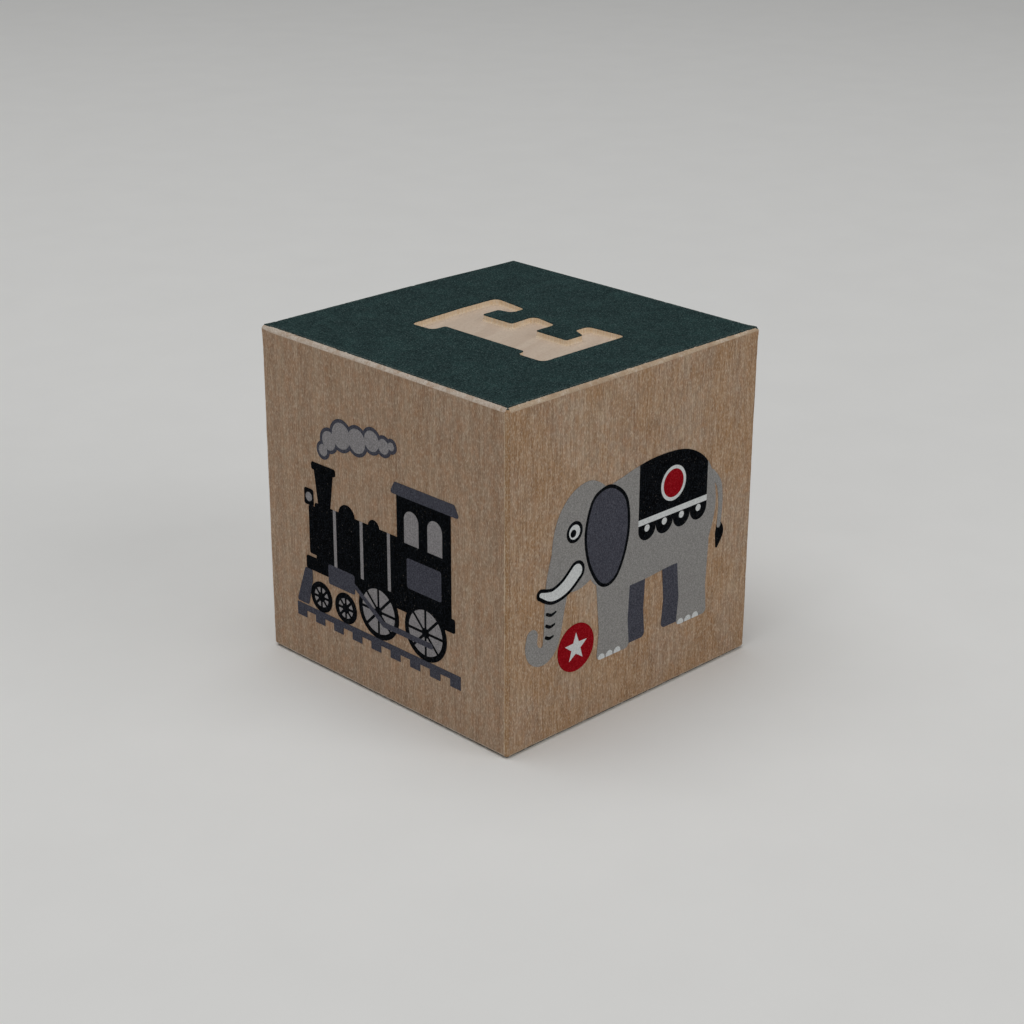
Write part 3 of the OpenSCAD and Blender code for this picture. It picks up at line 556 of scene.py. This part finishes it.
def rolled_acrylic_paint():
    """Matt acrylic paint rolled on end grain: dark green, a little cloudy, gritty with fine pale
    specks over the ends of the fibres, and paler where it is worn thin beside its border."""
    material = new_material("rolled_acrylic_paint")
    tree = material.node_tree
    clouds = grain_pattern(tree, 2.4, 2.4, detail=4.0, rough=0.6)
    paint = add(tree, "ValToRGB", {0: clouds}, stops=[
        (0.32, "#182b2c"), (0.52, "#203535"), (0.72, "#2a4342")])
    orange_peel = grain_pattern(tree, 0.5, 0.5, detail=2.0, rough=0.6, move=(6, 1, 8))
    paint = lay_over(tree, paint, "#3a5453", orange_peel, (0.42, 0.62), (0.0, 0.3))
    specks = grain_pattern(tree, 0.18, 0.18, detail=2.0, rough=0.7, move=(4, 4, 4))
    paint = lay_over(tree, paint, "#6b807f", specks, (0.50, 0.74), (0.0, 0.7))
    across = add(tree, "SeparateXYZ", {0: add(tree, "TexCoord").node.outputs["Object"]})
    sideways, lengthways = (add(tree, "Math", {0: across.node.outputs[axis]},
                                operation="ABSOLUTE") for axis in ("X", "Y"))
    off_middle = add(tree, "Math", {0: sideways, 1: lengthways}, operation="MAXIMUM")
    thin = add(tree, "MapRange", {"Value": off_middle, "From Min": FACE_HALF - PAINT_RIM_W,
                                  "From Max": FACE_HALF, "To Max": 0.45})
    # Past the border there are only the drops that ran over two corners, and they are thick
    on_face = add(tree, "MapRange", {"Value": off_middle, "From Min": FACE_HALF,
                                     "From Max": FACE_HALF + 3 * BORDER_WEAR,
                                     "To Min": 1.0, "To Max": 0.0})
    rim = add(tree, "Math", {0: thin, 1: on_face}, operation="MULTIPLY")
    paint = lay_over(tree, paint, "#7f8a84", specks, (0.40, 0.60), (0.0, 1.0), where=rim)
    pits = grain_pattern(tree, 0.17, 0.17, detail=1.0, move=(9, 4, 1))
    paint = lay_over(tree, paint, "#0d1a1b", pits, (0.46, 0.68), (0.0, 0.9))
    return make_matt(material, paint, roughness=0.8, specular=0.1, relief=specks, strength=0.4,
                     depth=0.03)


def screen_printed_ink(colour_name, colour, pale_grit, dark_grit, missed_share):
    """Screen-printing ink on sanded wood: flat and matt, with a fine grit, the wood's fibres
    just felt through it, and specks where it missed a pore."""
    material = new_material("screen_printed_" + colour_name + "_ink")
    tree = material.node_tree
    grit = grain_pattern(tree, 0.15, 0.18, detail=2.0, rough=0.7, move=(8, 1, 2))
    ink = lay_over(tree, linear(colour), pale_grit, grit, (0.50, 0.72), (0.0, 1.0))
    ink = lay_over(tree, ink, dark_grit, grit, (0.30, 0.50), (1.0, 0.0))
    fibres = grain_pattern(tree, 0.14, 1.7, detail=3.0, rough=0.7)
    ink = lay_over(tree, ink, pale_grit, fibres, (0.56, 0.74), (0.0, 0.6))
    missed = grain_pattern(tree, 0.16, 0.30, detail=1.0, move=(1, 7, 4))
    ink = lay_over(tree, ink, "#8f867d", missed, (0.72, 0.80), (0.0, missed_share))
    height = add(tree, "Math", {0: fibres, 1: grit}, operation="ADD")
    return make_matt(material, ink, roughness=0.8, specular=0.02, relief=height, strength=0.25,
                     depth=0.02)


def seamless_paper():
    """Seamless matt paper, pale and plain, with the faint clouds of its pulp."""
    material = new_material("seamless_paper")
    tree = material.node_tree
    clouds = grain_pattern(tree, 14.0, 14.0, detail=3.0)
    paper = lay_over(tree, linear("#f0f0ee"), "#f2f2f0", clouds, (0.3, 0.7), (0.0, 1.0))
    shader = add(tree, "BsdfPrincipled", {"Base Color": paper, "Roughness": 0.9,
                                          "Specular IOR Level": 0.1})
    add(tree, "OutputMaterial", {"Surface": shader})
    return material


# The wooden cube


def on_border(axis):
    """Tells whether a point lies on the border of a face, where moving along the axis keeps it
    in that face."""
    def test(co):
        spot = list(co - CUBE_MIDDLE)
        along = spot.pop(axis)
        at_border = abs(abs(along) - FACE_HALF) < NEAR
        return at_border and any(abs(abs(other) - HALF_SIDE) < NEAR for other in spot)
    return test


def on_arris(co):
    """Tells whether a point lies inside a worn edge, off all the faces."""
    return all(abs(c) < HALF_SIDE - NEAR for c in co - CUBE_MIDDLE)


def is_wide(face):
    """Tells one of the cube's six faces from the strips of its flats."""
    return face.calc_area() > FACE_HALF ** 2


def wear_corner(piece, sides, shares, reach):
    """Moves a top corner to or from its sharp point, less and less along its edges. Points stay
    on the faces that meet there."""
    tip = Vector((sides[0] * HALF_SIDE, sides[1] * HALF_SIDE, WOOD_HIGH_Z))
    pick(piece, "verts", lambda v: (v.co - tip).length < CORNER_REACH)
    bpy.ops.transform.resize(value=shares, center_override=tip, use_proportional_edit=True,
                             proportional_edit_falloff="SMOOTH", proportional_size=reach)


def on_painted_corner(spot, beside=0):
    """Tells whether a place lies under a drop of paint at one of the cube's top corners, or no
    further beside it than a distance."""
    edge = FACE_HALF - beside
    return any(spot.x * x > edge and spot.y * y > edge and spot.z > WOOD_HIGH_Z - drop
               for (x, y), drop in PAINTED_CORNERS)


def bevelled_cube():
    """The cube's flats, finely divided, with the six faces between them left open."""
    bpy.ops.object.select_all(action="DESELECT")
    bpy.ops.mesh.primitive_cube_add(size=BLOCK_SIDE, location=CUBE_MIDDLE)
    cube = bpy.context.object
    cube.name = "sanded_cube"
    bpy.ops.object.transform_apply()
    start_editing(cube)
    bpy.ops.mesh.select_all(action="SELECT")
    bpy.ops.mesh.bevel(offset=EDGE_FLAT, segments=FLAT_SEGMENTS, profile=FLAT_PROFILE,
                       affect="EDGES")
    pick(cube, "faces", is_wide)
    bpy.ops.mesh.delete(type="ONLY_FACE")
    split_long_edges(cube, EDGE_PITCH)
    stop_editing()
    return cube


def wear_edges(cube):
    """Wears the flats unevenly, mostly inwards, and makes their borders a little wavy."""
    name_group(cube, "arris", on_arris)
    wear(cube, "arris", grain_texture("sanding", ARRIS_WAVE), ARRIS_WEAR, middle=0.75)
    sanding = grain_texture("sanded_border", BORDER_WAVE, octaves=3)
    for axis, letter in enumerate("XYZ"):
        name_group(cube, "border_" + letter, on_border(axis))
        wear(cube, "border_" + letter, sanding, BORDER_WEAR, direction=letter)
    start_editing(cube)
    for sides, shares, reach in WORN_CORNERS:
        wear_corner(cube, sides, shares, reach)
    stop_editing()


def cut_letters():
    """The walls of the capital, of the small letter and of its eye."""
    fibre = grain_texture("torn_fibre", WALL_FIBRE_W, octaves=1)
    # The texture is stretched by an empty, which goes when the walls are cut
    bpy.ops.object.empty_add()
    upright = bpy.context.object
    upright.scale = (1, 1, WALL_FIBRE_STRETCH)
    bpy.context.view_layer.update()
    capital = draw_outline("capital", capital_outline(), WOOD_HIGH_Z)
    cut_wall(capital, WOOD_HIGH_Z, -1, True, fibre, upright)
    small, eye = (draw_outline("small", points, WOOD_LOW_Z) for points in small_outlines())
    cut_wall(small, WOOD_LOW_Z, 1, True, fibre, upright)
    cut_wall(eye, WOOD_LOW_Z, 1, False, fibre, upright)
    select_only(upright)
    bpy.ops.object.delete()
    return capital, small, eye


def close_sides(cube):
    """Closes the four upright sides, each with one face."""
    for axis in (0, 1):
        for side in (-1, 1):
            pick(cube, "edges", lambda edge: len(edge.link_faces) < 2 and all(
                abs(v.co[axis] - side * HALF_SIDE) < NEAR for v in edge.verts))
            bpy.ops.mesh.edge_face_add()


def close_levels(cube):
    """Closes the top, the underside and the floors of the letters, round what is cut there."""
    for z in (WOOD_HIGH_Z, WOOD_HIGH_Z - LETTER_DEPTH, WOOD_LOW_Z, WOOD_LOW_Z + LETTER_DEPTH):
        pick(cube, "edges", lambda edge: len(edge.link_faces) < 2
             and all(abs(v.co.z - z) < NEAR for v in edge.verts))
        fill_selected()


def make_cube():
    """The sanded cube: worn edges, and the two letters cut into it."""
    cube = bevelled_cube()
    wear_edges(cube)
    walls = cut_letters()
    select_only(cube)
    for wall in walls:
        wall.select_set(True)
    bpy.ops.object.join()
    start_editing(cube)
    close_sides(cube)
    close_levels(cube)
    bpy.ops.mesh.select_all(action="SELECT")
    bpy.ops.mesh.normals_make_consistent(inside=False)
    stop_editing()
    return cube


def make_paint(cube, name, z, way):
    """A coat of paint between the border of a painted face and its letter, with small chips
    along that border."""
    def in_face(face):
        return all(abs(v.co.z - z) < NEAR for v in face.verts)

    start_editing(cube)
    pick(cube, "edges", lambda edge: sum(in_face(face) for face in edge.link_faces) == 1)
    bpy.ops.mesh.duplicate()
    bpy.ops.mesh.separate(type="SELECTED")
    stop_editing()
    coat = next(o for o in bpy.context.selected_objects if o is not cube)
    coat.name = name
    coat.vertex_groups.clear()
    teeth = grain_texture("paint_teeth", PAINT_TOOTH_W, octaves=3, contrast=2.2, intensity=0.60)
    chips = grain_texture("paint_chips", PAINT_CHIP_W, octaves=4, contrast=3.0, intensity=0.2)
    # The border is wavy, so its points are looked for a little inside it
    near_border = FACE_HALF - 2 * BORDER_WEAR
    for axis, letter in enumerate("XY"):
        for side in (-1, 1):
            group = "border_" + letter + str(side)
            name_group(coat, group, lambda co: co[axis] * side > near_border
                       and not on_painted_corner(co, beside=PAINTED_CORNER_W))
            wear(coat, group, teeth, -side * PAINT_TEETH, direction=letter, middle=0.0)
            wear(coat, group, chips, -side * PAINT_CHIP, direction=letter, middle=0.0)
    start_editing(coat)
    bpy.ops.mesh.select_all(action="SELECT")
    fill_selected()
    bpy.ops.mesh.select_all(action="SELECT")
    bpy.ops.mesh.extrude_region_move(TRANSFORM_OT_translate={"value": (0, 0, way * PAINT_T)})
    bpy.ops.mesh.select_all(action="SELECT")
    bpy.ops.mesh.normals_make_consistent(inside=False)
    stop_editing()
    return coat


def in_letter(spot):
    """Tells whether a face of the cube is a letter's wall or floor."""
    return abs(spot.x) < LETTER_REACH and abs(spot.y) < LETTER_REACH and (
        WOOD_LOW_Z + NEAR < spot.z < WOOD_HIGH_Z - NEAR)


def shows_end_grain(normal):
    """Tells whether a face of the cube is sanded through across the grain."""
    return abs(normal.z) > END_GRAIN_RISE and (
        min(abs(normal.x), abs(normal.y)) < END_GRAIN_ASIDE)


def finish_cube(cube, side_grain, end_grain, routed, paint):
    """Gives each face of the cube its finish."""
    finishes = [side_grain, end_grain, routed, paint]
    for material in finishes:
        cube.data.materials.append(material)
    for face in cube.data.polygons:
        finish = side_grain
        if on_painted_corner(face.center):
            finish = paint
        elif in_letter(face.center):
            finish = routed
        elif shows_end_grain(face.normal):
            finish = end_grain
        face.material_index = finishes.index(finish)


cube = make_cube()
top_coat = make_paint(cube, "top_coat", WOOD_HIGH_Z, 1)
underside_coat = make_paint(cube, "underside_coat", WOOD_LOW_Z, -1)

paint = rolled_acrylic_paint()
finish_cube(cube, sanded_basswood(), sanded_basswood_end_grain(), routed_basswood(), paint)
for coat in (top_coat, underside_coat):
    coat.data.materials.clear()
    coat.data.materials.append(paint)

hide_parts("wood_block")
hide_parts("top_paint")
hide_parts("bottom_paint")
for piece, slot in ((cube, "wood"), (top_coat, "green_paint"), (underside_coat, "green_paint")):
    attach(piece, "root")

# Colour, its pale and its dark grit, and how much of the wood its specks show
INKS = {
    "black": ("#040507", "#262a30", "#000101", 0.45),
    "grey": ("#949290", "#aba9a6", "#7e7c7a", 0.10),
    "slate": ("#4a4b55", "#63646e", "#373740", 0.20),
    "pale": ("#939092", "#b0adae", "#797678", 0.10),
    "white": ("#d9dcdc", "#e9ebeb", "#c2c5c5", 0.05),
    "red": ("#930a16", "#ad2730", "#7c0610", 0.15),
}
inks = {name: screen_printed_ink(name, *look) for name, look in INKS.items()}
for name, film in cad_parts.items():
    if name.endswith("_ink"):
        film.data.materials.clear()
        film.data.materials.append(inks[name.split("_")[1]])


# Floor, light and camera

# In metres
FLOOR_SIDE = 8.0
# Square soft boxes: place and side in metres, and power in watts
SOFT_BOXES = {
    "overhead_softbox": ((-0.15, 0.10, 1.10), 1.0, 6.6),
    "front_softbox": ((0.25, -0.80, 0.50), 0.6, 1.8),
    "left_softbox": ((-0.80, -0.25, 0.50), 0.6, 0.68),
}
ROOM_LIGHT = 0.12

# The photograph's view, measured from the cube's corners. Its shares are shares of a side
VIEW_TURN = math.radians(-44.681)
VIEW_RISE = math.radians(22.325)
VIEW_ROLL = math.radians(0.218)
VIEW_DISTANCE_SHARE = 6.132
AIM_RIGHT_SHARE = 0.0078
AIM_UP_SHARE = -0.0629
FOCAL_PIXELS = 2102.15
PHOTO_PIXELS = 1024
# The camera's sensor in millimetres, and the nearest that it sees in metres
SENSOR_W = 36.0
NEAREST_SEEN = 0.01


def make_floor():
    bpy.ops.object.select_all(action="DESELECT")
    bpy.ops.mesh.primitive_plane_add(size=FLOOR_SIDE)
    floor = bpy.context.object
    floor.name = "floor"
    floor.data.materials.append(seamless_paper())


def soft_light(name, place, side, power):
    light = bpy.data.lights.new(name, "AREA")
    light.shape = "SQUARE"
    light.size = side
    light.energy = power
    lamp = bpy.data.objects.new(name, light)
    lamp.location = place
    lamp.rotation_euler = (CUBE_MIDDLE - lamp.location).to_track_quat("-Z", "Y").to_euler()
    bpy.context.scene.collection.objects.link(lamp)


def light_room():
    """Even white light from all round, and plain colours as they are."""
    world = bpy.data.worlds.new("studio")
    world.use_nodes = True
    background = world.node_tree.nodes["Background"]
    background.inputs["Color"].default_value = (1, 1, 1, 1)
    background.inputs["Strength"].default_value = ROOM_LIGHT
    bpy.context.scene.world = world
    bpy.context.scene.view_settings.view_transform = "Standard"


def make_camera():
    back = Vector((math.sin(VIEW_TURN) * math.cos(VIEW_RISE),
                   -math.cos(VIEW_TURN) * math.cos(VIEW_RISE), math.sin(VIEW_RISE)))
    right = Vector((math.cos(VIEW_TURN), math.sin(VIEW_TURN), 0))
    up = back.cross(right)
    aim = CUBE_MIDDLE + BLOCK_SIDE * (AIM_RIGHT_SHARE * right + AIM_UP_SHARE * up)
    data = bpy.data.cameras.new("camera")
    data.sensor_width = SENSOR_W
    data.lens = FOCAL_PIXELS * SENSOR_W / PHOTO_PIXELS
    data.clip_start = NEAREST_SEEN
    camera = bpy.data.objects.new("camera", data)
    camera.location = aim + VIEW_DISTANCE_SHARE * BLOCK_SIDE * back
    turned_right = right * math.cos(VIEW_ROLL) + up * math.sin(VIEW_ROLL)
    turned_up = -right * math.sin(VIEW_ROLL) + up * math.cos(VIEW_ROLL)
    camera.rotation_euler = Matrix((turned_right, turned_up, back)).transposed().to_euler()
    bpy.context.scene.collection.objects.link(camera)
    bpy.context.scene.camera = camera


make_floor()
for name, (place, side, power) in SOFT_BOXES.items():
    soft_light(name, place, side, power)
light_room()
make_camera()
